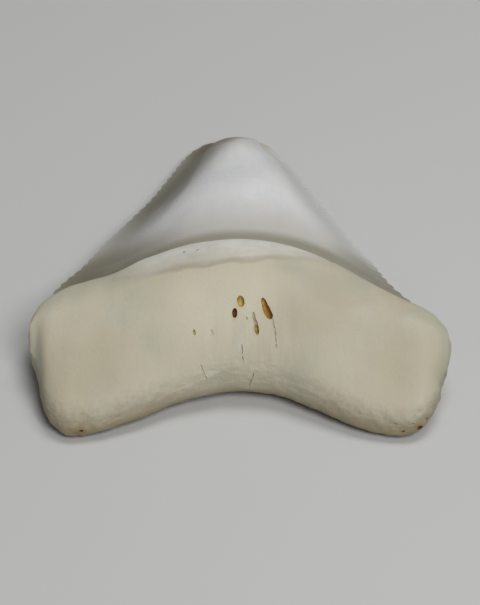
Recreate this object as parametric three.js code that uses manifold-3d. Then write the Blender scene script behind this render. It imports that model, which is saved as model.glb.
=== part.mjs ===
import * as THREE from "three";
import { mergeVertices } from "three/addons/utils/BufferGeometryUtils.js";
import Module from "manifold-3d";

// A great white shark's upper tooth, root and crown grown together as one solid, lying on its outer face.
// Units are millimetres. +X runs along the root, +Y from the root to the tip, +Z out of the inner face.
// The origin is on the surface that the tooth lies on, under the middle of its outline.

// Driving dimensions
const ROOT_WIDTH = 45; // across both lobes
const TOOTH_LENGTH = 52.3; // from the feet of the lobes to the tip
const ROOT_THICKNESS = 11.3; // at the shoulder in the middle of the root
const CROWN_THICKNESS = 9.8; // where the crown leaves the root
const SERRATION_PITCH = 1.4; // along the cutting edges
const SERRATION_REACH = 0.3; // how far the serrations stand out of the edges

// How finely the surfaces are divided
const ROOT_SLICES = 44;
const CURVE_STEPS = 3; // on each rounded stretch of the root's section
const CROWN_SLICES = 34;

// The root from its left end to its right end. Across is a share of half its width. The foot, the neck
// under the outer face and the neck over the inner face are shares of the tooth's length. The outer face
// at the foot, the outer face at the neck and the inner face's shoulder are shares of its thickness.
const ROOT_ROWS = [
  [-1.0, 0.22, 0.25, 0.225, 0.4, 0.46, 0.52],
  [-0.985, 0.19, 0.3, 0.25, 0.28, 0.42, 0.6],
  [-0.95, 0.14, 0.335, 0.268, 0.15, 0.36, 0.66],
  [-0.9, 0.06, 0.37, 0.293, 0.05, 0.31, 0.69],
  [-0.82, 0.006, 0.405, 0.325, -0.03, 0.24, 0.7],
  [-0.74, 0.0, 0.43, 0.342, -0.045, 0.18, 0.71],
  [-0.62, 0.018, 0.435, 0.37, -0.02, 0.1, 0.73],
  [-0.45, 0.054, 0.42, 0.4, 0.0, 0.06, 0.8],
  [-0.25, 0.1, 0.38, 0.41, 0.025, 0.035, 0.92],
  [0.0, 0.12, 0.38, 0.406, 0.045, 0.03, 1.0],
  [0.18, 0.115, 0.38, 0.403, 0.035, 0.03, 0.97],
  [0.36, 0.08, 0.38, 0.393, 0.01, 0.06, 0.87],
  [0.54, 0.034, 0.425, 0.368, -0.02, 0.1, 0.76],
  [0.68, 0.008, 0.41, 0.328, -0.04, 0.18, 0.7],
  [0.78, 0.0, 0.37, 0.295, -0.03, 0.25, 0.68],
  [0.86, 0.03, 0.34, 0.27, 0.03, 0.31, 0.66],
  [0.92, 0.075, 0.31, 0.25, 0.12, 0.36, 0.63],
  [0.965, 0.14, 0.28, 0.23, 0.22, 0.4, 0.58],
  [0.985, 0.18, 0.24, 0.21, 0.36, 0.43, 0.48],
];

// The crown from the root to the tip. Along is a share of the tooth's length. The left and the right
// cutting edge are shares of half the root's width. The height of the edges and of the crest are shares
// of the crown's thickness. The lead is how far the middle of a slice is ahead of its ends.
const CROWN_ROWS = [
  [0.3, -0.95, 0.92, 0.37, 0.98, 0.05],
  [0.35, -0.93, 0.85, 0.375, 1.0, 0.032],
  [0.395, -0.885, 0.765, 0.375, 1.0, 0.02],
  [0.44, -0.84, 0.71, 0.35, 0.98, 0.014],
  [0.5, -0.755, 0.655, 0.3, 0.95, 0.008],
  [0.58, -0.67, 0.572, 0.265, 0.88, 0.004],
  [0.67, -0.552, 0.476, 0.225, 0.79, 0.002],
  [0.76, -0.444, 0.391, 0.194, 0.67, 0],
  [0.85, -0.352, 0.297, 0.165, 0.54, 0],
  [0.91, -0.29, 0.217, 0.145, 0.42, 0],
  [0.95, -0.23, 0.165, 0.125, 0.31, 0],
  [0.98, -0.15, 0.09, 0.11, 0.2, 0],
  [1.0, -0.06, 0.01, 0.08, 0.12, 0],
];

// The crown's inner face, from the left cutting edge to the right one: across, as a share of half the
// crown's width, and up, from 0 at the edges to 1 at the crest.
const CROWN_INNER = [
  [-1, 0],
  [-0.93, 0.035],
  [-0.84, 0.08],
  [-0.74, 0.18],
  [-0.62, 0.38],
  [-0.48, 0.66],
  [-0.32, 0.87],
  [-0.14, 0.98],
  [0.04, 1],
  [0.22, 0.97],
  [0.4, 0.87],
  [0.56, 0.7],
  [0.7, 0.49],
  [0.82, 0.29],
  [0.91, 0.14],
  [1, 0],
];
const CROWN_OUTER = [0.93, 0.82, 0.66, 0.48, 0.3, 0, -0.3, -0.48, -0.66, -0.82, -0.93];
const FLAT_SHARE = 0.3; // of the outer face, which turns up towards the edges outside it

// The nutrient holes in the middle of the root: place, half width, half length, depth and slant.
const NUTRIENT_HOLES = [
  { x: 0.1, y: 13.2, z: 8.9, width: 0.38, length: 0.62, depth: 1.6, slant: 0 },
  { x: -0.6, y: 11.9, z: 8.6, width: 0.3, length: 0.58, depth: 1.8, slant: -0.05 },
  { x: 2.8, y: 12.7, z: 8.8, width: 0.4, length: 1.35, depth: 1.5, slant: 0.33 },
  { x: 1.8, y: 10.7, z: 8.1, width: 0.38, length: 1.15, depth: 1.4, slant: 0.1 },
];

// The section of the root, from its neck over the inner face and the foot to the outer face: first its
// share of the way from the foot to the neck, then its share of the thickness.
function rootSection() {
  const path = new THREE.Path();
  path.moveTo(0.93, 0.02);
  path.lineTo(0.99, 0.14);
  path.lineTo(0.98, 0.5);
  path.lineTo(0.985, 0.84);
  path.quadraticCurveTo(1.01, 0.93, 0.98, 0.96);
  path.quadraticCurveTo(0.9, 1.0, 0.81, 0.97);
  path.quadraticCurveTo(0.72, 1.0, 0.54, 0.85);
  path.lineTo(0.34, 0.7);
  path.lineTo(0.14, 0.54);
  path.quadraticCurveTo(0, 0.45, 0, 0.29);
  path.quadraticCurveTo(0.04, 0.03, 0.28, 0);
  path.lineTo(0.6, 0);
  return path.getPoints(CURVE_STEPS);
}

// Reads a table of rows smoothly: the result gives the row that is a share of the way through it.
function smoothRows(rows) {
  const curves = [];
  for (let column = 1; column < rows[0].length; column += 2) {
    const points = rows.map((row) => new THREE.Vector3(row[0], row[column], row[column + 1] ?? 0));
    curves.push(new THREE.CatmullRomCurve3(points, false, "catmullrom", 0.5));
  }
  return (share) => {
    const found = curves.map((curve) => curve.getPoint(share));
    return [found[0].x, ...found.flatMap((point) => [point.y, point.z])];
  };
}

// A closed skin over rings of the same number of points, with a fan over each end.
function skin(rings) {
  const points = rings.flat();
  const around = rings[0].length;
  const last = rings.length - 1;
  const triangles = [];
  for (let ring = 0; ring < last; ring++) {
    for (let i = 0; i < around; i++) {
      const a = ring * around + i;
      const b = ring * around + ((i + 1) % around);
      triangles.push(a, b, b + around, a, b + around, a + around);
    }
  }
  for (const ring of [0, last]) {
    const centre = new THREE.Vector3();
    rings[ring].forEach((point) => centre.addScaledVector(point, 1 / around));
    for (let i = 0; i < around; i++) {
      const a = ring * around + i;
      const b = ring * around + ((i + 1) % around);
      triangles.push(points.length, ...(ring === 0 ? [b, a] : [a, b]));
    }
    points.push(centre);
  }
  const geometry = new THREE.BufferGeometry().setFromPoints(points);
  geometry.setIndex(triangles);
  return geometry;
}

function rootGeometry() {
  const { lerp } = THREE.MathUtils;
  const section = rootSection();
  const rowAt = smoothRows(ROOT_ROWS);
  const rings = [];
  for (let slice = 0; slice <= ROOT_SLICES; slice++) {
    const [across, foot, outerNeck, innerNeck, footLow, neckLow, high] = rowAt(slice / ROOT_SLICES);
    const ring = section.map(({ x: along, y: up }) => {
      const y = lerp(foot, lerp(outerNeck, innerNeck, up), along) * TOOTH_LENGTH;
      const z = lerp(lerp(footLow, neckLow, along), high, up) * ROOT_THICKNESS;
      return new THREE.Vector3((across * ROOT_WIDTH) / 2, y, z);
    });
    rings.push(ring);
  }
  return skin(rings);
}

const crownRowAt = smoothRows(CROWN_ROWS);

// A point of the crown: up is 1 on the crest, 0 at the height of the edges and -1 on the outer face.
function crownPoint(share, across, up) {
  const [along, left, right, edge, crest, lead] = crownRowAt(share);
  const x = THREE.MathUtils.lerp(left, right, (across + 1) / 2);
  const z = edge + up * (up > 0 ? crest - edge : edge);
  const y = along + lead * (1 - across * across);
  return new THREE.Vector3((x * ROOT_WIDTH) / 2, y * TOOTH_LENGTH, z * CROWN_THICKNESS);
}

function crownGeometry() {
  const outer = CROWN_OUTER.map((across) => {
    const turn = Math.max(0, (Math.abs(across) - FLAT_SHARE) / (1 - FLAT_SHARE));
    return [across, turn ** 3 - 1];
  });
  const section = [...CROWN_INNER, ...outer];
  const rings = [];
  for (let slice = 0; slice <= CROWN_SLICES; slice++) {
    rings.push(section.map(([across, up]) => crownPoint(slice / CROWN_SLICES, across, up)));
  }
  return skin(rings);
}

// One cutting edge's serrations, uneven in size as grown ones are, from the heel of the crown to the tip.
// Each is a rounded lump that is longest along the edge and runs into the next one.
function serrations(side) {
  const edge = [];
  for (let share = 0.08; share < 0.92; share += 0.04) edge.push(crownPoint(share, side, 0));
  const curve = new THREE.CatmullRomCurve3(edge);
  const count = Math.round(curve.getLength() / SERRATION_PITCH);
  const lumps = [];
  for (let i = 0; i <= count; i++) {
    const point = curve.getPointAt(i / count);
    const tangent = curve.getTangentAt(i / count);
    const size = 1 + 0.18 * Math.sin(i * 2.4 + side);
    const lump = new THREE.SphereGeometry(size, 6, 4);
    lump.scale(2.6 * SERRATION_REACH, 0.6 * SERRATION_PITCH, SERRATION_REACH);
    lump.translate(-1.6 * side * SERRATION_REACH, 0, 0);
    lump.rotateZ(Math.atan2(-tangent.x, tangent.y));
    lump.translate(point.x, point.y, point.z);
    lumps.push(lump);
  }
  return lumps;
}

function nutrientHole({ x, y, z, width, length, depth, slant }) {
  const cutter = new THREE.SphereGeometry(1, 12, 8);
  cutter.scale(width, length, depth);
  cutter.rotateZ(slant);
  cutter.translate(x, y, z);
  return cutter;
}

const wasm = await Module();
wasm.setup();

function toSolid(geometry) {
  const bare = geometry.clone();
  bare.deleteAttribute("normal");
  bare.deleteAttribute("uv");
  const merged = mergeVertices(bare, 1e-5);
  const vertProperties = merged.attributes.position.array;
  const triVerts = new Uint32Array(merged.index.array);
  return new wasm.Manifold(new wasm.Mesh({ numProp: 3, vertProperties, triVerts }));
}

function toGeometry(solid) {
  const { vertProperties, triVerts } = solid.getMesh();
  const geometry = new THREE.BufferGeometry();
  geometry.setAttribute("position", new THREE.BufferAttribute(vertProperties, 3));
  geometry.setIndex(new THREE.BufferAttribute(triVerts, 1));
  geometry.computeVertexNormals();
  return geometry;
}

let solid = toSolid(rootGeometry()).add(toSolid(crownGeometry()));
for (const bead of [...serrations(-1), ...serrations(1)]) solid = solid.add(toSolid(bead));
for (const hole of NUTRIENT_HOLES) solid = solid.subtract(toSolid(nutrientHole(hole)));

const geometry = toGeometry(solid);
const tooth = new THREE.Mesh(
  geometry,
  new THREE.MeshStandardMaterial({ color: 0xd9d2bd, roughness: 0.5, metalness: 0 }),
);
tooth.name = "tooth";
const box = new THREE.Box3().setFromBufferAttribute(geometry.getAttribute("position"));
const middle = box.getCenter(new THREE.Vector3());
tooth.position.set(-middle.x, -middle.y, -box.min.z);

const group = new THREE.Group();
group.add(tooth);

export default group;
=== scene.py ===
# A great white shark's upper tooth, lying on its outer face on a pale table.
# The root and the crown are each a bar with the right section, pulled to shape by a lattice cage,
# then joined in one mesh and finished: nutrient holes, cracks, pores, serrations and stains.
import math

import bmesh
import bpy
from mathutils import Matrix, Vector


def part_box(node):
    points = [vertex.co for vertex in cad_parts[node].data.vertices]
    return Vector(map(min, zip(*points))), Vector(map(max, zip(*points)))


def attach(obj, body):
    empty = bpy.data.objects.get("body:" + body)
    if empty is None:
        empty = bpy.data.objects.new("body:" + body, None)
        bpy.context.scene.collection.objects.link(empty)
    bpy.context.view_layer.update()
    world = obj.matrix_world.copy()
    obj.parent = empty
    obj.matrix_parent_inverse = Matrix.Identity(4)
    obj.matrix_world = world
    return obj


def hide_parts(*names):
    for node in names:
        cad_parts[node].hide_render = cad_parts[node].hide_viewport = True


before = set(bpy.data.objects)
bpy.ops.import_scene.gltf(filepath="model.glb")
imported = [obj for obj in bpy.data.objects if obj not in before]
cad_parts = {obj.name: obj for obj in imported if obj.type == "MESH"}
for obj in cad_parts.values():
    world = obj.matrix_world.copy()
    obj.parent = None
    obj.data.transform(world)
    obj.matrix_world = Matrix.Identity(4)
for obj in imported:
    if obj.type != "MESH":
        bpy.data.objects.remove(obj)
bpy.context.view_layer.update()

MM = 0.001
SAME_PLACE = 0.01 * MM

# The frame's tooth gives the size and the place of everything here.
LOW, HIGH = (Vector(corner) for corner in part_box("tooth"))
TOOTH_LENGTH = 52.3 * MM
ROOT_WIDTH = 45 * MM
ROOT_THICKNESS = 11.3 * MM
CROWN_THICKNESS = 9.8 * MM
ROOT_MIDDLE = LOW.x + ROOT_WIDTH / 2
FEET = HIGH.y - TOOTH_LENGTH

# The root from its left end to its right end. Across is a share of half its width. The foot, the neck
# under the outer face and the neck over the inner face are shares of the tooth's length. The outer face
# at the foot, the outer face at the neck and the inner face's shoulder are shares of its thickness.
ROOT_ROWS = [
    (-1.0, 0.205, 0.245, 0.222, 0.38, 0.44, 0.515),
    (-0.985, 0.186, 0.3, 0.24, 0.27, 0.41, 0.59),
    (-0.95, 0.15, 0.335, 0.266, 0.15, 0.36, 0.66),
    (-0.9, 0.067, 0.37, 0.291, 0.05, 0.31, 0.69),
    (-0.82, 0.026, 0.405, 0.321, -0.03, 0.24, 0.695),
    (-0.74, 0.021, 0.43, 0.335, -0.045, 0.18, 0.7),
    (-0.62, 0.031, 0.435, 0.361, -0.02, 0.1, 0.715),
    (-0.45, 0.062, 0.42, 0.4, 0.0, 0.06, 0.795),
    (-0.25, 0.106, 0.38, 0.415, 0.025, 0.035, 0.92),
    (0.0, 0.127, 0.38, 0.411, 0.045, 0.03, 1.0),
    (0.18, 0.118, 0.38, 0.408, 0.035, 0.03, 0.97),
    (0.36, 0.078, 0.38, 0.394, 0.01, 0.06, 0.865),
    (0.54, 0.039, 0.425, 0.357, -0.02, 0.1, 0.745),
    (0.68, 0.022, 0.41, 0.316, -0.04, 0.18, 0.685),
    (0.78, 0.022, 0.37, 0.287, -0.03, 0.25, 0.67),
    (0.86, 0.042, 0.34, 0.267, 0.03, 0.31, 0.655),
    (0.92, 0.085, 0.31, 0.247, 0.12, 0.36, 0.625),
    (0.965, 0.142, 0.28, 0.222, 0.22, 0.4, 0.56),
    (0.985, 0.172, 0.24, 0.207, 0.345, 0.43, 0.477),
]

# The crown from the root to the tip. Along is a share of the tooth's length. The left and the right
# cutting edge are shares of half the root's width. The height of the edges and of the crest are shares
# of the crown's thickness. The lead is how far the middle of a slice is ahead of its ends.
CROWN_ROWS = [
    (0.3, -0.95, 0.92, 0.37, 0.98, 0.05),
    (0.35, -0.94, 0.85, 0.375, 1.0, 0.032),
    (0.395, -0.903, 0.77, 0.375, 1.0, 0.02),
    (0.44, -0.848, 0.715, 0.35, 0.98, 0.014),
    (0.5, -0.767, 0.664, 0.3, 0.95, 0.008),
    (0.58, -0.682, 0.58, 0.265, 0.88, 0.004),
    (0.67, -0.562, 0.486, 0.225, 0.79, 0.002),
    (0.76, -0.448, 0.404, 0.194, 0.67, 0.0),
    (0.85, -0.356, 0.312, 0.165, 0.54, 0.0),
    (0.91, -0.298, 0.229, 0.145, 0.42, 0.0),
    (0.95, -0.244, 0.183, 0.125, 0.325, 0.0),
    (0.98, -0.17, 0.125, 0.115, 0.215, 0.0),
    (1.0, -0.075, 0.06, 0.085, 0.13, 0.0),
]

# The root's section: the share of the way from the foot to the neck, and of the thickness.
ROOT_SECTION = [
    (0.93, 0.02), (0.99, 0.14), (0.985, 0.5), (0.982, 0.8), (0.99, 0.88), (1.0, 0.93), (0.985, 0.962),
    (0.94, 0.982), (0.88, 0.99), (0.83, 0.987), (0.78, 0.975), (0.73, 0.953), (0.65, 0.915),
    (0.54, 0.845), (0.34, 0.69), (0.2, 0.56), (0.105, 0.445), (0.052, 0.355), (0.02, 0.275),
    (0.004, 0.2), (0.008, 0.13), (0.045, 0.065), (0.12, 0.02), (0.24, 0.0), (0.42, 0.0), (0.65, 0.0),
]
# The crown's section: across, as a share of half its width, and up, which is 1 on the crest, 0 at the
# height of the edges and -1 on the outer face.
CROWN_SECTION = [
    (-1.0, 0.0), (-0.93, 0.045), (-0.84, 0.11), (-0.74, 0.215), (-0.62, 0.385), (-0.48, 0.62),
    (-0.32, 0.84), (-0.14, 0.96), (0.04, 1.0), (0.22, 0.985), (0.4, 0.92), (0.56, 0.79), (0.7, 0.59),
    (0.82, 0.37), (0.91, 0.18), (1.0, 0.0), (0.93, -0.27), (0.82, -0.59), (0.66, -0.86),
    (0.48, -0.983), (0.3, -1.0), (0.0, -1.0), (-0.3, -1.0), (-0.48, -0.983), (-0.66, -0.86),
    (-0.82, -0.59), (-0.93, -0.27),
]
ROOT_STEPS = 25
CROWN_STEPS = 31
SMOOTHING = 3

# The neck band, in shares of the root's bar: where across its middle is, where along the root it starts
# there, how much later it starts towards the ends, and how wide the step down to it is.
BAND_MIDDLE = -0.05
BAND_START = 0.722
BAND_BOW = 2.3
BAND_STEP = 0.045

# Where the enamel starts over the middle of the root, how much it curves back per square millimetre to
# the side, and how far up the painted shade of the two flanks is measured from. In millimetres from the
# feet.
NECK_HEIGHT = 21.4
NECK_BOW = 0.0125
FLANKS_MEET = 47.7

# The serrations of the cutting edges, the length of one cut of a crack, and how rough a hole's rim is.
SERRATION_PITCH = 1.25
SERRATION_DEPTH = 0.19
CRACK_STEP = 0.6
ROUGH_RIM = 0.22


def only(piece):
    """Leave one piece selected and active, in object mode."""
    bpy.ops.object.select_all(action="DESELECT")
    piece.select_set(True)
    bpy.context.view_layer.objects.active = piece


def finish_with(piece, kind, **settings):
    """Add a modifier to a piece, set it up and apply it."""
    only(piece)
    modifier = piece.modifiers.new(kind.title(), kind)
    for name, value in settings.items():
        setattr(modifier, name, value)
    bpy.ops.object.modifier_apply(modifier=modifier.name)


def draw_bar(name, section, along, steps):
    """Draw a section point by point, fill it, and extrude it in equal steps along one direction."""
    bpy.ops.object.select_all(action="DESELECT")
    bpy.ops.mesh.primitive_plane_add(size=0.001, location=section[0])
    bar = bpy.context.object
    bar.name = bar.data.name = name
    bpy.ops.object.mode_set(mode="EDIT")
    bpy.ops.mesh.select_mode(type="VERT")
    bpy.ops.mesh.merge(type="CENTER")
    for here, there in zip(section, section[1:]):
        step = Vector(there) - Vector(here)
        bpy.ops.mesh.extrude_region_move(TRANSFORM_OT_translate={"value": step})
    bpy.ops.mesh.select_all(action="SELECT")
    bpy.ops.mesh.edge_face_add()
    for _ in range(steps):
        bpy.ops.mesh.extrude_region_move(TRANSFORM_OT_translate={"value": Vector(along) / steps})
    bpy.ops.mesh.select_all(action="SELECT")
    bpy.ops.mesh.normals_make_consistent(inside=False)
    bpy.ops.object.mode_set(mode="OBJECT")
    bpy.ops.object.transform_apply(location=True, rotation=True, scale=True)
    return bar


def pull_to_shape(bar, low, high, counts, place):
    """Fit a lattice round a bar, move each of its points to place(u, v, w), and apply it."""
    low, high = Vector(low), Vector(high)
    size = high - low
    middle = (low + high) / 2
    bpy.ops.object.select_all(action="DESELECT")
    bpy.ops.object.add(type="LATTICE", location=middle)
    cage = bpy.context.object
    cage.scale = size
    lattice = cage.data
    lattice.points_u, lattice.points_v, lattice.points_w = counts
    lattice.interpolation_type_u = "KEY_CATMULL_ROM" if counts[0] > 3 else "KEY_LINEAR"
    lattice.interpolation_type_v = "KEY_CATMULL_ROM" if counts[1] > 3 else "KEY_LINEAR"
    lattice.interpolation_type_w = "KEY_LINEAR"
    index = 0
    for w in range(counts[2]):
        for v in range(counts[1]):
            for u in range(counts[0]):
                offset = Vector(place(u, v, w)) - middle
                lattice.points[index].co_deform = [o / s for o, s in zip(offset, size)]
                index += 1
    finish_with(bar, "LATTICE", object=cage)
    bpy.data.objects.remove(cage)


def make_root():
    """The root: a bar along X in a cage that is two points deep and two high at each station."""
    half = ROOT_WIDTH / 2
    depth = 0.4 * TOOTH_LENGTH
    section = [(-half, along * depth, up * ROOT_THICKNESS) for along, up in ROOT_SECTION]
    root = draw_bar("tooth_root", section, (ROOT_WIDTH, 0, 0), ROOT_STEPS)
    finish_with(root, "SUBSURF", levels=SMOOTHING, render_levels=SMOOTHING)
    map_flat(root, 0, 1)
    band = root.vertex_groups.new(name="neck_band")
    for vertex in root.data.vertices:
        aside = vertex.co.x / half - BAND_MIDDLE
        start = BAND_START + BAND_BOW * aside * aside
        share = fade(vertex.co.y / depth, start, start + BAND_STEP)
        if share > 0 and vertex.co.z > 0.5 * ROOT_THICKNESS:
            band.add([vertex.index], share, "REPLACE")
    basal = root.vertex_groups.new(name="basal_edge")
    for vertex in root.data.vertices:
        share = 1 - fade(vertex.co.y / depth, 0.03, 0.14)
        if share > 0:
            basal.add([vertex.index], share, "REPLACE")

    def place(u, v, w):
        across, foot, outer_neck, inner_neck, foot_low, neck_low, high = ROOT_ROWS[u]
        neck = (outer_neck, inner_neck)[w]
        y = FEET + (foot, neck)[v] * TOOTH_LENGTH
        z = ((foot_low, neck_low)[v], high)[w] * ROOT_THICKNESS
        return ROOT_MIDDLE + across * half, y, z

    counts = (len(ROOT_ROWS), 2, 2)
    pull_to_shape(root, (-half, 0, 0), (half, depth, ROOT_THICKNESS), counts, place)
    return root


def crown_place(row, across, up):
    """The place of a point of the crown: which row, how far across, and up as in its section."""
    along, left, right, edge, crest, lead = row
    x = left + (right - left) * (across + 1) / 2
    z = edge + up * (crest - edge if up > 0 else edge)
    y = along + lead * (1 - across * across)
    return ROOT_MIDDLE + x * ROOT_WIDTH / 2, FEET + y * TOOTH_LENGTH, z * CROWN_THICKNESS


def make_crown():
    """The crown: a bar along Y in a cage with a row of points at each station, sharp at both edges."""
    half = ROOT_WIDTH / 2
    length = 0.7 * TOOTH_LENGTH
    rise = CROWN_THICKNESS / 2
    section = [(across * half, 0, up * rise) for across, up in CROWN_SECTION]
    crown = draw_bar("tooth_crown", section, (0, length, 0), CROWN_STEPS)

    bpy.ops.object.mode_set(mode="EDIT")
    bpy.ops.mesh.select_mode(type="EDGE")
    bpy.ops.mesh.select_all(action="DESELECT")
    shape = bmesh.from_edit_mesh(crown.data)
    for edge in shape.edges:
        if all(abs(abs(v.co.x) - half) < SAME_PLACE for v in edge.verts):
            edge.select_set(True)
    bmesh.update_edit_mesh(crown.data)
    bpy.ops.transform.edge_crease(value=1.0)
    bpy.ops.object.mode_set(mode="OBJECT")
    for name, side in (("left_edge", -1), ("right_edge", 1)):
        on_edge = [v.index for v in crown.data.vertices if abs(v.co.x - side * half) < SAME_PLACE]
        crown.vertex_groups.new(name=name).add(on_edge, 1.0, "REPLACE")
    finish_with(crown, "SUBSURF", levels=SMOOTHING, render_levels=SMOOTHING)
    map_flat(crown, 0, 1)

    stations = len(CROWN_ROWS)
    columns = 5

    def place(u, v, w):
        return crown_place(CROWN_ROWS[v], 2 * u / (columns - 1) - 1, w - 1)

    pull_to_shape(crown, (-half, 0, -rise), (half, length, rise), (columns, stations, 3), place)
    return crown


def map_flat(piece, across, along):
    """Give a bar a UV map of its own: how far across and how far along it each point is, from 0 to 1."""
    points = [vertex.co for vertex in piece.data.vertices]
    start = [min(point[i] for point in points) for i in range(3)]
    size = [max(point[i] for point in points) - start[i] for i in range(3)]
    uv = piece.data.uv_layers.new(name="growth")
    for loop in piece.data.loops:
        point = piece.data.vertices[loop.vertex_index].co
        uv.data[loop.index].uv = [(point[i] - start[i]) / size[i] for i in (across, along)]


def spread(piece, name, weight):
    """A vertex group whose weight at each point is worked out from its place in millimetres."""
    group = piece.vertex_groups.new(name=name)
    for vertex in piece.data.vertices:
        x, y, z = (vertex.co - Vector((ROOT_MIDDLE, FEET, 0))) / MM
        value = weight(x, y, z)
        if value > 0.001:
            group.add([vertex.index], min(value, 1.0), "REPLACE")


def ruler(name, scale):
    """An empty whose unit is a stretched millimetre, for a texture to be laid along."""
    bpy.ops.object.select_all(action="DESELECT")
    bpy.ops.object.empty_add(location=(ROOT_MIDDLE, FEET, 0))
    empty = bpy.context.object
    empty.name = name
    empty.scale = [s * MM for s in scale]
    bpy.context.view_layer.update()
    return empty


def ripple(piece, height, grain, group="", stretch=(1, 1, 1), depth=2, direction="NORMAL"):
    """Raise and sink the surface with soft cloudy noise: its height and grain are in millimetres."""
    texture = bpy.data.textures.new("clouds", "CLOUDS")
    texture.noise_scale = grain
    texture.noise_depth = depth
    texture.noise_basis = "IMPROVED_PERLIN"
    empty = ruler("ripple_ruler", stretch)
    finish_with(
        piece, "DISPLACE", texture=texture, texture_coords="OBJECT", texture_coords_object=empty,
        strength=height * MM, mid_level=0.5, vertex_group=group, direction=direction,
    )
    bpy.data.objects.remove(empty)


def fade(value, start, end):
    """0 at start, 1 at end, smooth between them."""
    share = min(max((value - start) / (end - start), 0), 1)
    return share * share * (3 - 2 * share)


def press(piece, centre, reach, push, direction="NORMAL"):
    """Push a soft dent in, or a swelling out, round a place. All of it is in millimetres."""
    def weight(x, y, z):
        shares = [(a - b) / r for a, b, r in zip((x, y, z), centre, reach)]
        return 1 - fade(math.sqrt(sum(share * share for share in shares)), 0, 1)

    spread(piece, "pressed", weight)
    finish_with(
        piece, "DISPLACE", strength=push * MM, mid_level=0, vertex_group="pressed", direction=direction
    )
    piece.vertex_groups.remove(piece.vertex_groups["pressed"])


def serrate(crown):
    """Scallop both cutting edges, unevenly, as grown serrations are."""
    for side in (-1, 1):
        texture = bpy.data.textures.new("serrations", "WOOD")
        texture.wood_type = "BANDNOISE"
        texture.noise_basis_2 = "SIN"
        texture.noise_scale = 0.35
        texture.turbulence = 2.2
        far = 1000
        empty = ruler("serration_ruler", (far, SERRATION_PITCH * 10 / (2 * math.pi), far))
        empty.location.y += side * 3 * MM
        bpy.context.view_layer.update()
        finish_with(
            crown, "DISPLACE", texture=texture, texture_coords="OBJECT", texture_coords_object=empty,
            strength=side * SERRATION_DEPTH * MM, mid_level=0.35, direction="X",
            vertex_group="left_edge" if side < 0 else "right_edge",
        )
        bpy.data.objects.remove(empty)


def new_finish(name):
    """A new finish: its node tree and its shader."""
    material = bpy.data.materials.new(name)
    material.use_nodes = True
    return material, material.node_tree, material.node_tree.nodes["Principled BSDF"]


def drawn_place(tree):
    """Each point's place in millimetres, from the middle of the feet."""
    coordinates = tree.nodes.new("ShaderNodeTexCoord")
    mapping = tree.nodes.new("ShaderNodeMapping")
    mapping.inputs["Scale"].default_value = (1 / MM, 1 / MM, 1 / MM)
    mapping.inputs["Location"].default_value = (-ROOT_MIDDLE / MM, -FEET / MM, 0)
    tree.links.new(coordinates.outputs["Object"], mapping.inputs["Vector"])
    return mapping.outputs["Vector"]


def vector_step(tree, operation, vector, other):
    node = tree.nodes.new("ShaderNodeVectorMath")
    node.operation = operation
    tree.links.new(vector, node.inputs[0])
    node.inputs[1].default_value = other
    return node


def number(tree, operation, *values):
    node = tree.nodes.new("ShaderNodeMath")
    node.operation = operation
    for socket, value in zip(node.inputs, values):
        if isinstance(value, (int, float)):
            socket.default_value = value
        else:
            tree.links.new(value, socket)
    return node.outputs[0]


def between(tree, value, low, high, top=1.0):
    """0 at low, top at high, smooth between them."""
    node = tree.nodes.new("ShaderNodeMapRange")
    node.interpolation_type = "SMOOTHSTEP"
    node.inputs["From Min"].default_value = low
    node.inputs["From Max"].default_value = high
    node.inputs["To Max"].default_value = top
    tree.links.new(value, node.inputs["Value"])
    return node.outputs["Result"]


def fading(tree, value, low, high, top=1.0):
    """Top at low, 0 at high."""
    return number(tree, "SUBTRACT", top, between(tree, value, low, high, top))


def cloud(tree, place, grain, stretch=(1, 1, 1), detail=3, shift=0):
    """Noise with a grain in millimetres, drawn out along an axis by stretch."""
    scale = [1 / (grain * s) for s in stretch]
    scaled = vector_step(tree, "MULTIPLY", place, scale).outputs[0]
    moved = vector_step(tree, "ADD", scaled, (shift, shift, shift)).outputs[0]
    noise = tree.nodes.new("ShaderNodeTexNoise")
    noise.inputs["Scale"].default_value = 1
    noise.inputs["Detail"].default_value = detail
    tree.links.new(moved, noise.inputs["Vector"])
    return noise.outputs["Fac"]


def spot(tree, place, centre, reach, strength=1.0):
    """A soft patch round a place, with its reach in millimetres along each axis."""
    away = vector_step(tree, "SUBTRACT", place, centre).outputs[0]
    shares = vector_step(tree, "DIVIDE", away, reach).outputs[0]
    length = tree.nodes.new("ShaderNodeVectorMath")
    length.operation = "LENGTH"
    tree.links.new(shares, length.inputs[0])
    return fading(tree, length.outputs["Value"], 0.2, 1.0, strength)


def tint(tree, share, below, above):
    """One colour where share is 0, another where it is 1. Each is a colour or a socket."""
    node = tree.nodes.new("ShaderNodeMix")
    node.data_type = "RGBA"
    tree.links.new(share, node.inputs["Factor"])
    for socket, colour in ((node.inputs[6], below), (node.inputs[7], above)):
        if isinstance(colour, tuple):
            socket.default_value = (*colour, 1)
        else:
            tree.links.new(colour, socket)
    return node.outputs[2]


def lay_patches(tree, place, colour, dirt_and_shade, patches):
    """Lay one colour over another in soft patches, each with a centre, a reach and a strength: real dirt
    in some calls, painted shade in others.
    """
    for centre, reach, strength in patches:
        colour = tint(tree, spot(tree, place, centre, reach, strength), colour, dirt_and_shade)
    return colour


def relief(tree, shader, height, distance):
    """Fine relief in the finish: its depth is in millimetres."""
    bump = tree.nodes.new("ShaderNodeBump")
    bump.inputs["Distance"].default_value = distance * MM
    tree.links.new(height, bump.inputs["Height"])
    tree.links.new(bump.outputs["Normal"], shader.inputs["Normal"])


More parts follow.
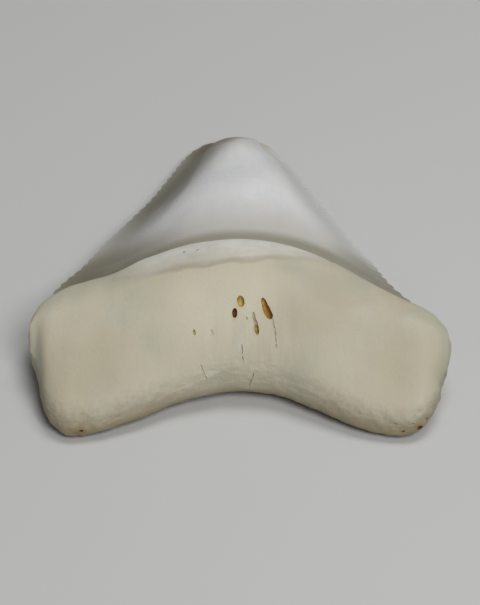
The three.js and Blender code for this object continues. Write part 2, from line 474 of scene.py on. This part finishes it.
def growth(tree):
    """How far across its bar a point is, from -1 to 1, and how far along it, from 0 to 1."""
    grown = tree.nodes.new("ShaderNodeUVMap")
    grown.uv_map = "growth"
    parts = tree.nodes.new("ShaderNodeSeparateXYZ")
    tree.links.new(grown.outputs["UV"], parts.inputs["Vector"])
    across = number(tree, "SUBTRACT", number(tree, "MULTIPLY", parts.outputs["X"], 2.0), 1.0)
    return across, parts.outputs["Y"]


def make_dentine():
    """Ivory root: mottled warm and grey-green, faint upright streaks, a whiter neck band, stained feet,
    painted shade along the feet, under the lobes, low down, in the band's crease and in the dip below the
    band, and painted light on the left end.
    """
    material, tree, shader = new_finish("ivory_dentine")
    place = drawn_place(tree)
    parts = tree.nodes.new("ShaderNodeSeparateXYZ")
    tree.links.new(place, parts.inputs["Vector"])
    across, along = growth(tree)

    mottle = between(tree, cloud(tree, place, 4.5, (1, 1.6, 1), detail=3), 0.36, 0.64)
    colour = tint(tree, mottle, (0.446, 0.425, 0.33), (0.488, 0.448, 0.338))
    streaks = between(tree, cloud(tree, place, 0.7, (1, 5, 5), shift=11), 0.45, 0.75, 0.12)
    colour = tint(tree, streaks, colour, (0.37, 0.34, 0.25))
    specks = between(tree, cloud(tree, place, 0.5, detail=2, shift=5), 0.68, 0.76, 0.3)
    colour = tint(tree, specks, colour, (0.4, 0.34, 0.21))

    heart = spot(tree, place, (-3.2, 13.5, 8.8), (10.5, 7.5, 8), 0.8)
    colour = tint(tree, heart, colour, (0.575, 0.535, 0.41))
    flutes = between(tree, cloud(tree, place, 0.8, (1, 9, 9), shift=31), 0.44, 0.6)
    middle = spot(tree, place, (2.5, 9.0, 7.0), (8, 6, 7), 0.5)
    colour = tint(tree, number(tree, "MULTIPLY", flutes, middle), colour, (0.43, 0.405, 0.31))
    off_middle = number(tree, "ABSOLUTE", parts.outputs["X"])
    rim = between(tree, parts.outputs["X"], 19, 22, 0.5)
    colour = tint(tree, rim, colour, (0.4, 0.405, 0.305))
    colour = lay_patches(tree, place, colour, (0.38, 0.33, 0.21), (
        ((8.5, 12.6, 8.0), (7, 6, 7), 0.5),
        ((-17.0, 7.0, 5.5), (8, 8, 7), 0.5),
        ((17.0, 8.0, 5.5), (7, 8, 7), 0.25),
    ))
    # Painted light: the root's left end is lightened where its side face turns away from the key lamp.
    painted_light_end = spot(tree, place, (-22.2, 10.5, 4.0), (3.2, 8, 6), 0.85)
    colour = tint(tree, painted_light_end, colour, (0.62, 0.59, 0.45))

    # Darker along the basal edge: painted shade where the edge turns under, over a faint dark olive tone.
    ragged = number(tree, "MULTIPLY", cloud(tree, place, 0.5, detail=4, shift=21), 0.1)
    from_edge = number(tree, "SUBTRACT", number(tree, "ADD", along, ragged), 0.05)
    colour = tint(tree, fading(tree, from_edge, 0.0, 0.05, 0.2), colour, (0.3, 0.27, 0.18))
    # Painted shade under the lobes, where their undersides turn away from the light.
    under_lobes_shade = number(tree, "MULTIPLY", fading(tree, from_edge, 0.01, 0.13, 0.48),
                         between(tree, off_middle, 5, 10))
    colour = tint(tree, under_lobes_shade, colour, (0.25, 0.22, 0.145))

    aside = number(tree, "SUBTRACT", across, BAND_MIDDLE)
    bow = number(tree, "MULTIPLY", number(tree, "MULTIPLY", aside, aside), BAND_BOW)
    past_line = number(tree, "SUBTRACT", along, number(tree, "ADD", bow, BAND_START))
    wander = number(tree, "MULTIPLY", cloud(tree, place, 2.2, detail=3, shift=17), 0.07)
    past_line = number(tree, "ADD", past_line, number(tree, "SUBTRACT", wander, 0.035))
    # The neck band is whiter than the root; its run from darker at the lower line to lighter at the lip is
    # painted shade and light of the sunken band.
    lip_light = between(tree, past_line, 0.02, 0.2)
    band_colour = tint(tree, lip_light, (0.5, 0.475, 0.405), (0.66, 0.65, 0.6))
    grime = between(tree, cloud(tree, place, 1.0, (2.2, 1, 1), detail=4, shift=23), 0.42, 0.7, 0.38)
    band_colour = tint(tree, grime, band_colour, (0.46, 0.445, 0.39))
    band = number(tree, "MULTIPLY", between(tree, past_line, -0.02, 0.045, 0.9),
                  between(tree, across, -0.36, -0.18))
    colour = tint(tree, band, colour, band_colour)
    # Painted shade: a dark line along the band's lower edge, where the step down to the band lies in
    # shade.
    crease_shade = number(tree, "MULTIPLY", between(tree, past_line, -0.02, 0.005),
                    fading(tree, past_line, 0.005, 0.06, 0.6))
    crease_shade = number(tree, "MULTIPLY", crease_shade, between(tree, across, -0.28, -0.12))
    crease_shade = number(tree, "MULTIPLY", crease_shade, fading(tree, across, 0.08, 0.24))
    colour = tint(tree, crease_shade, colour, (0.34, 0.3, 0.22))

    # Painted shade: darker low down on the root, where the underside turns away from the light.
    underside_shade = fading(tree, parts.outputs["Z"], 1.0, 3.2, 0.8)
    colour = tint(tree, underside_shade, colour, (0.27, 0.22, 0.13))
    halos = (
        ((0.05, 13.0, 8.9), (0.75, 0.8, 1.5), 0.5),
        ((-0.58, 11.8, 8.2), (0.6, 0.85, 1.5), 0.45),
        ((2.8, 12.3, 8.4), (0.9, 1.3, 1.5), 0.5),
        ((1.7, 10.4, 7.6), (0.6, 0.8, 1.5), 0.4),
        ((6.2, 10.4, 7.4), (0.4, 1.6, 1.5), 0.18),
        ((7.4, 11.6, 7.8), (0.3, 1.0, 1.2), 0.3),
        ((8.8, 8.2, 6.0), (0.3, 1.4, 1.5), 0.3),
        ((-19.0, 13.6, 6.6), (0.7, 1.8, 1.5), 0.3),
    )
    colour = lay_patches(tree, place, colour, (0.47, 0.36, 0.17), halos)
    stains = (
        ((18.5, 1.5, 1.6), (1.0, 0.9, 0.9), 0.5),
        ((19.4, 2.4, 2.1), (0.6, 0.5, 0.7), 0.25),
        ((17.2, 1.2, 1.5), (1.1, 0.7, 0.8), 0.25),
        ((-16.6, 1.25, 1.3), (1.1, 0.8, 0.9), 0.5),
        ((-18.0, 3.8, 4.5), (0.25, 0.25, 0.8), 0.3),
        ((-18.37, 5.61, 5.43), (0.2, 0.2, 0.8), 0.25),
        ((10.05, 4.3, 4.3), (0.2, 0.2, 0.8), 0.3),
        ((12.12, 4.3, 4.4), (0.2, 0.2, 0.8), 0.3),
    )
    colour = lay_patches(tree, place, colour, (0.2, 0.12, 0.04), stains)
    # Grey-green patches under the band on the right: painted shade of the shallow dip there, with a
    # grey-green tone.
    colour = lay_patches(tree, place, colour, (0.36, 0.355, 0.28), (
        ((5.2, 17.3, 9.4), (2.8, 1.5, 3), 0.5),
        ((9.5, 16.6, 8.6), (6, 2.2, 4), 0.4),
    ))
    sallow = spot(tree, place, (18.9, 15.0, 6.8), (3.5, 1.2, 2.5), 0.5)
    colour = tint(tree, sallow, colour, (0.4, 0.37, 0.12))

    tree.links.new(colour, shader.inputs["Base Color"])
    gloss = tree.nodes.new("ShaderNodeMapRange")
    gloss.inputs["To Min"].default_value = 0.45
    gloss.inputs["To Max"].default_value = 0.68
    tree.links.new(mottle, gloss.inputs["Value"])
    tree.links.new(gloss.outputs["Result"], shader.inputs["Roughness"])
    grain = cloud(tree, place, 0.4, detail=4, shift=3)
    froth = number(tree, "MULTIPLY", cloud(tree, place, 0.3, detail=2, shift=13),
                   fading(tree, from_edge, 0.04, 0.14, 1.4))
    relief(tree, shader, number(tree, "ADD", grain, froth), 0.03)
    shader.inputs["Subsurface Weight"].default_value = 0.12
    shader.inputs["Subsurface Scale"].default_value = 1.5 * MM
    return material


def make_enamel():
    """White enamel: satin, faintly streaked towards the tip, darkened at the neck with painted shade and
    some grime, painted shade in the flank grooves and at the base corners, and browned at the tip.
    """
    material, tree, shader = new_finish("white_enamel")
    place = drawn_place(tree)
    parts = tree.nodes.new("ShaderNodeSeparateXYZ")
    tree.links.new(place, parts.inputs["Vector"])
    across, up_tooth = parts.outputs["X"], parts.outputs["Y"]

    haze = between(tree, cloud(tree, place, 7, detail=3), 0.35, 0.65)
    colour = tint(tree, haze, (0.72, 0.725, 0.73), (0.775, 0.775, 0.77))
    streaks = between(tree, cloud(tree, place, 0.9, (1, 12, 4), shift=7), 0.48, 0.75, 0.22)
    colour = tint(tree, streaks, colour, (0.6, 0.6, 0.59))

    bow = number(tree, "MULTIPLY", number(tree, "MULTIPLY", across, across), NECK_BOW)
    from_neck = number(tree, "SUBTRACT", number(tree, "ADD", up_tooth, bow), NECK_HEIGHT)
    # Darker towards the neck and darkest in a line along it: painted shade of the root's ledge over the
    # crown's base, with some grime in the join.
    colour = tint(tree, fading(tree, from_neck, 2.0, 12.0, 0.8), colour, (0.46, 0.44, 0.39))
    colour = tint(tree, fading(tree, from_neck, 1.6, 3.6, 0.75), colour, (0.25, 0.23, 0.16))

    # Painted shade in the grooves of the two flanks, the left much darker than the right, with a faint
    # olive tone.
    flanks = (
        (-4.6, -0.5, 6.4, 0.75, 14, 22, (0.23, 0.22, 0.17)),
        (-4.5, -0.5, 4.7, 0.92, 28, 39, (0.145, 0.14, 0.105)),
        (3.5, 0.43, 5.0, 0.6, 20, 25, (0.36, 0.36, 0.33)),
    )
    down = number(tree, "SUBTRACT", FLANKS_MEET, up_tooth)
    for start, slant, reach, strength, low, high, grime in flanks:
        groove = number(tree, "ADD", number(tree, "MULTIPLY", down, slant), start)
        off = number(tree, "ABSOLUTE", number(tree, "SUBTRACT", across, groove))
        near = number(tree, "MULTIPLY", fading(tree, off, 0.2, reach, strength),
                      between(tree, up_tooth, low, high))
        colour = tint(tree, near, colour, grime)
    # The crown's base corners: brown-grey grime, partly painted shade beside the neck.
    colour = lay_patches(tree, place, colour, (0.18, 0.16, 0.1), (
        ((-14.0, 22.8, 4.5), (12, 8, 7.5), 0.95),
        ((15.0, 21.0, 4.5), (9, 7, 7), 0.78),
    ))
    cream = spot(tree, place, (2.4, 50.8, 2.2), (3.4, 2.2, 2.6), 0.65)
    colour = tint(tree, cream, colour, (0.47, 0.4, 0.26))
    colour = lay_patches(tree, place, colour, (0.12, 0.08, 0.035), (
        ((-5.0, 49.0, 1.6), (2.4, 3.0, 2.4), 0.35),
        ((-3.5, 49.4, 2.6), (2.3, 2.8, 2.6), 0.85),
        ((-2.0, 49.7, 3.2), (2.2, 2.8, 2.4), 0.8),
        ((-0.4, 50.6, 2.7), (2.0, 2.2, 2.2), 0.65),
    ))

    tree.links.new(colour, shader.inputs["Base Color"])
    gloss = tree.nodes.new("ShaderNodeMapRange")
    gloss.inputs["To Min"].default_value = 0.26
    gloss.inputs["To Max"].default_value = 0.38
    tree.links.new(haze, gloss.inputs["Value"])
    tree.links.new(gloss.outputs["Result"], shader.inputs["Roughness"])
    relief(tree, shader, cloud(tree, place, 0.6, (1, 5, 3), shift=9), 0.006)
    shader.inputs["Subsurface Weight"].default_value = 0.15
    shader.inputs["Subsurface Scale"].default_value = 1.2 * MM
    return material


def plain_material(name, colour, roughness):
    material = bpy.data.materials.new(name)
    material.use_nodes = True
    shader = material.node_tree.nodes["Principled BSDF"]
    shader.inputs["Base Color"].default_value = (*colour, 1)
    shader.inputs["Roughness"].default_value = roughness
    return material


def make_lining(name, rim, shaded_floor):
    """The lining of a hole: the one colour blotched with the other, darker one, which is partly painted
    shade of the hole's depth.
    """
    material, tree, shader = new_finish(name)
    blotch = between(tree, cloud(tree, drawn_place(tree), 0.45, detail=3, shift=2), 0.38, 0.6)
    tree.links.new(tint(tree, blotch, rim, shaded_floor), shader.inputs["Base Color"])
    shader.inputs["Roughness"].default_value = 0.6
    return material


def surface_point(piece, x, y, z=None):
    """The place on top of a piece, or nearest to z, and which way it faces there. In millimetres."""
    start = Vector((ROOT_MIDDLE + x * MM, FEET + y * MM, 1.0 if z is None else z * MM))
    if z is None:
        hit, place, normal, _ = piece.ray_cast(start, Vector((0, 0, -1)))
    else:
        hit, place, normal, _ = piece.closest_point_on_mesh(start)
    assert hit, f"nothing under {x}, {y}"
    return place, normal


def cut(piece, cutter):
    """Cut one piece out of another, with the cutter's finish left on the cut."""
    finish_with(piece, "BOOLEAN", operation="DIFFERENCE", object=cutter, solver="MANIFOLD",
                material_mode="TRANSFER")
    bpy.data.objects.remove(cutter)


def clear_crumbs(piece):
    """Dissolve the corners that a cut leaves halfway along an edge: they would end up as slivers."""
    only(piece)
    bpy.ops.object.mode_set(mode="EDIT")
    bpy.ops.mesh.select_mode(type="VERT")
    bpy.ops.mesh.select_all(action="DESELECT")
    shape = bmesh.from_edit_mesh(piece.data)
    for vertex in shape.verts:
        vertex.select_set(len(vertex.link_edges) == 2)
    bmesh.update_edit_mesh(piece.data)
    bpy.ops.mesh.dissolve_verts()
    bpy.ops.object.mode_set(mode="OBJECT")


def draw_out(cutter, reach):
    """Move the two halves of a ball apart along Y, which makes a blunt slot of it."""
    bpy.ops.object.mode_set(mode="EDIT")
    bpy.ops.mesh.select_mode(type="VERT")
    for way in (-1, 1):
        bpy.ops.mesh.select_all(action="DESELECT")
        shape = bmesh.from_edit_mesh(cutter.data)
        for vertex in shape.verts:
            vertex.select_set(vertex.co.y * way > 1e-6)
        bmesh.update_edit_mesh(cutter.data)
        bpy.ops.transform.translate(value=(0, way * reach, 0))
    bpy.ops.object.mode_set(mode="OBJECT")


def sink_hole(piece, start, end, width, depth, lining, blunt=0.0, sides=24):
    """A long hole between two places on the surface. Blunt is 0 for an oval and 1 for round ends."""
    place_a, normal_a = surface_point(piece, *start)
    place_b, normal_b = surface_point(piece, *end)
    run = place_b - place_a
    normal = (normal_a + normal_b).normalized()
    half_width = width * MM / 2
    drawn = blunt * run.length / 2
    half_length = run.length / 2 + half_width - drawn
    bpy.ops.object.select_all(action="DESELECT")
    bpy.ops.mesh.primitive_uv_sphere_add(
        segments=sides, ring_count=sides // 2, radius=1, scale=(half_width, half_length, depth * MM)
    )
    cutter = bpy.context.object
    only(cutter)
    bpy.ops.object.transform_apply(location=True, rotation=True, scale=True)
    if drawn > 0:
        draw_out(cutter, drawn)
    side = run.cross(normal).normalized()
    ahead = normal.cross(side).normalized()
    turn = Matrix((side, ahead, normal)).transposed().to_4x4()
    cutter.matrix_world = Matrix.Translation((place_a + place_b) / 2) @ turn
    bpy.context.view_layer.update()
    bpy.ops.object.transform_apply(location=True, rotation=True, scale=True)
    bpy.ops.object.mode_set(mode="EDIT")
    bpy.ops.mesh.select_all(action="SELECT")
    bpy.ops.mesh.normals_make_consistent(inside=False)
    bpy.ops.object.mode_set(mode="OBJECT")
    bpy.ops.object.shade_smooth()
    if drawn > 0:
        ripple(cutter, ROUGH_RIM * width, 0.5, depth=1)
    cutter.data.materials.append(lining)
    cut(piece, cutter)


def score(piece, points, width, depth, lining):
    """A crack: short oval cuts end to end, each on the surface, so that none is buried in a bulge."""
    for start, end in zip(points, points[1:]):
        length = math.dist(start, end)
        steps = max(1, round(length / CRACK_STEP))
        for step in range(steps):
            shares = (step / steps, (step + 1) / steps)
            here, there = ([a + (b - a) * s for a, b in zip(start, end)] for s in shares)
            sink_hole(piece, here, there, width, depth, lining, sides=12)


root = make_root()
finish_with(root, "DISPLACE", strength=-0.09 * MM, mid_level=0, vertex_group="neck_band")
press(root, (10.2, 15.6, 8.8), (6, 3, 4), -0.25)
press(root, (22.2, 10.2, 5.0), (3, 3, 5), 0.25, "X")
press(root, (21.7, 6.3, 4.0), (3, 1.8, 5), -0.28, "X")
press(root, (-1.4, 6.4, 2.6), (2.6, 2.2, 3.5), 0.3, "Y")
spread(root, "ends", lambda x, y, z: fade(abs(x), 20.6, 21.6))
finish_with(root, "SMOOTH", factor=0.5, iterations=14, vertex_group="ends")
ripple(root, 0.5, 9)
spread(
    root, "middle",
    lambda x, y, z: (1 - fade(abs(x - 1.5), 3, 8)) * fade(z, 3, 6) * (1 - fade(y, 9, 14)),
)
ripple(root, 0.36, 1.5, "middle", (1, 8, 8))
ripple(root, 0.4, 0.8, "basal_edge", depth=3)
ripple(root, 0.035, 1.1, depth=3)

crown = make_crown()
ripple(crown, 0.15, 7)
serrate(crown)

root.data.materials.append(make_dentine())
crown.data.materials.append(make_enamel())

finish_with(root, "BOOLEAN", operation="UNION", object=crown, solver="MANIFOLD", material_mode="TRANSFER")
bpy.data.objects.remove(crown)
tooth = root
tooth.name = tooth.data.name = "finished_tooth"

# Each lining's second colour is darker, partly as painted shade of the hole's depth; the dark lining's is
# near black.
golden = make_lining("golden_lining", (0.48, 0.345, 0.09), (0.38, 0.255, 0.04))
dark = make_lining("dark_lining", (0.24, 0.085, 0.014), (0.02, 0.006, 0.001))
orange = make_lining("orange_lining", (0.44, 0.26, 0.05), (0.31, 0.165, 0.015))
bone = make_lining("groove_lining", (0.38, 0.34, 0.22), (0.32, 0.27, 0.15))
olive = make_lining("olive_lining", (0.37, 0.31, 0.07), (0.22, 0.165, 0.01))
crack = make_lining("crack_dirt", (0.46, 0.42, 0.3), (0.37, 0.33, 0.22))
brown = make_lining("foot_lining", (0.28, 0.16, 0.04), (0.1, 0.045, 0.01))
sink_hole(tooth, (0.05, 13.44), (0.1, 13.02), 0.8, 0.5, golden, blunt=0.3)
sink_hole(tooth, (-0.56, 12.36), (-0.54, 11.84), 0.52, 0.6, dark, blunt=0.3)
sink_hole(tooth, (2.45, 13.38), (2.84, 12.33), 0.6, 0.45, orange, blunt=0.3)
sink_hole(tooth, (2.7, 12.98), (3.1, 11.83), 0.86, 0.6, orange, blunt=0.4)
sink_hole(tooth, (1.42, 12.08), (1.52, 11.28), 0.3, 0.12, bone, blunt=0.3)
sink_hole(tooth, (1.52, 11.52), (1.74, 10.62), 0.56, 0.11, bone, blunt=0.3)
sink_hole(tooth, (1.7, 10.9), (1.81, 10.22), 0.46, 0.35, olive, blunt=0.2)
sink_hole(tooth, (-4.82, 10.53), (-4.76, 10.15), 0.26, 0.12, olive, sides=12)
sink_hole(tooth, (-3.0, 10.55), (-2.86, 10.1), 0.24, 0.07, crack, sides=12)
sink_hole(tooth, (0.68, 11.7), (0.74, 11.45), 0.18, 0.1, crack, sides=12)
sink_hole(tooth, (-6.12, 19.87, 10.06), (-5.9, 19.87, 10.1), 0.14, 0.08, brown, sides=12)
sink_hole(tooth, (-4.7, 19.77, 10.4), (-4.45, 19.8, 10.45), 0.12, 0.07, brown, sides=12)
for width, depth, points in (
    (0.26, 0.08, ((3.38, 11.55), (3.67, 10.4))),
    (0.18, 0.1, ((3.68, 10.38), (3.8, 8.75))),
    (0.15, 0.12, ((0.2, 9.23), (0.32, 7.75))),
    (0.12, 0.08, ((-4.12, 7.59, 4.95), (-3.81, 7.08, 4.3), (-3.42, 6.6, 3.62))),
    (0.17, 0.16, ((1.45, 7.3, 3.98), (1.2, 7.0, 3.3), (0.88, 6.76, 2.4))),
):
    score(tooth, points, width, depth, crack)

for place, width, lining in (
    ((18.5, 1.5, 1.55), 0.42, brown),
    ((17.8, 1.6, 2.1), 0.2, crack),
    ((19.4, 2.4, 2.1), 0.22, brown),
    ((16.8, 1.15, 1.4), 0.2, brown),
    ((16.0, 1.5, 2.1), 0.18, crack),
    ((-16.55, 1.28, 1.4), 0.24, brown),
):
    beside = (place[0] + width, *place[1:])
    sink_hole(tooth, place, beside, width, width, lining, sides=12)

clear_crumbs(tooth)
only(tooth)
bpy.ops.object.shade_smooth_by_angle(angle=math.radians(40))

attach(tooth, "root")
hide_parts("tooth")


def make_table():
    """The pale table that the tooth lies on, with no edge in view."""
    bpy.ops.object.select_all(action="DESELECT")
    bpy.ops.mesh.primitive_plane_add(size=6, location=(0, 0, 0))
    table = bpy.context.object
    table.name = "table"
    table.data.materials.append(plain_material("pale_table", (0.52, 0.52, 0.51), 0.8))


def add_lamp(name, place, aim, size, power, colour=(1, 1, 1)):
    bpy.ops.object.light_add(type="AREA", location=place)
    lamp = bpy.context.object
    lamp.name = name
    lamp.data.size = size
    lamp.data.energy = power
    lamp.data.color = colour
    lamp.rotation_euler = (Vector(aim) - Vector(place)).to_track_quat("-Z", "Y").to_euler()


def make_light():
    world = bpy.data.worlds.new("soft_room")
    bpy.context.scene.world = world
    world.use_nodes = True
    world.node_tree.nodes["Background"].inputs["Color"].default_value = (1, 1, 1, 1)
    world.node_tree.nodes["Background"].inputs["Strength"].default_value = 0.12
    add_lamp("key_lamp", (0.13, -0.26, 0.34), (0, 0, 0), 0.2, 1.15)
    add_lamp("top_lamp", (0.08, 0.12, 0.42), (0, 0.01, 0), 0.2, 0.75)


# The camera looks down at the inner face from the side of the root.
CAMERA_HEIGHT_ANGLE = 41
CAMERA_DISTANCE = 230 * MM
AIM = Vector((0.17 * MM, FEET + 17.4 * MM, 5 * MM))
PIXELS_PER_MM = 9.25
FRAME_HEIGHT = 605
SENSOR = 36


def make_camera():
    angle = math.radians(CAMERA_HEIGHT_ANGLE)
    back = Vector((0, -math.cos(angle), math.sin(angle)))
    bpy.ops.object.camera_add(location=AIM + back * CAMERA_DISTANCE)
    camera = bpy.context.object
    camera.rotation_euler = (-back).to_track_quat("-Z", "Y").to_euler()
    camera.data.sensor_width = SENSOR
    camera.data.lens = SENSOR * PIXELS_PER_MM * (CAMERA_DISTANCE / MM) / FRAME_HEIGHT
    camera.data.clip_start = 0.01
    camera.data.dof.use_dof = False
    bpy.context.scene.camera = camera
    bpy.context.scene.view_settings.view_transform = "Standard"


make_table()
make_light()
make_camera()
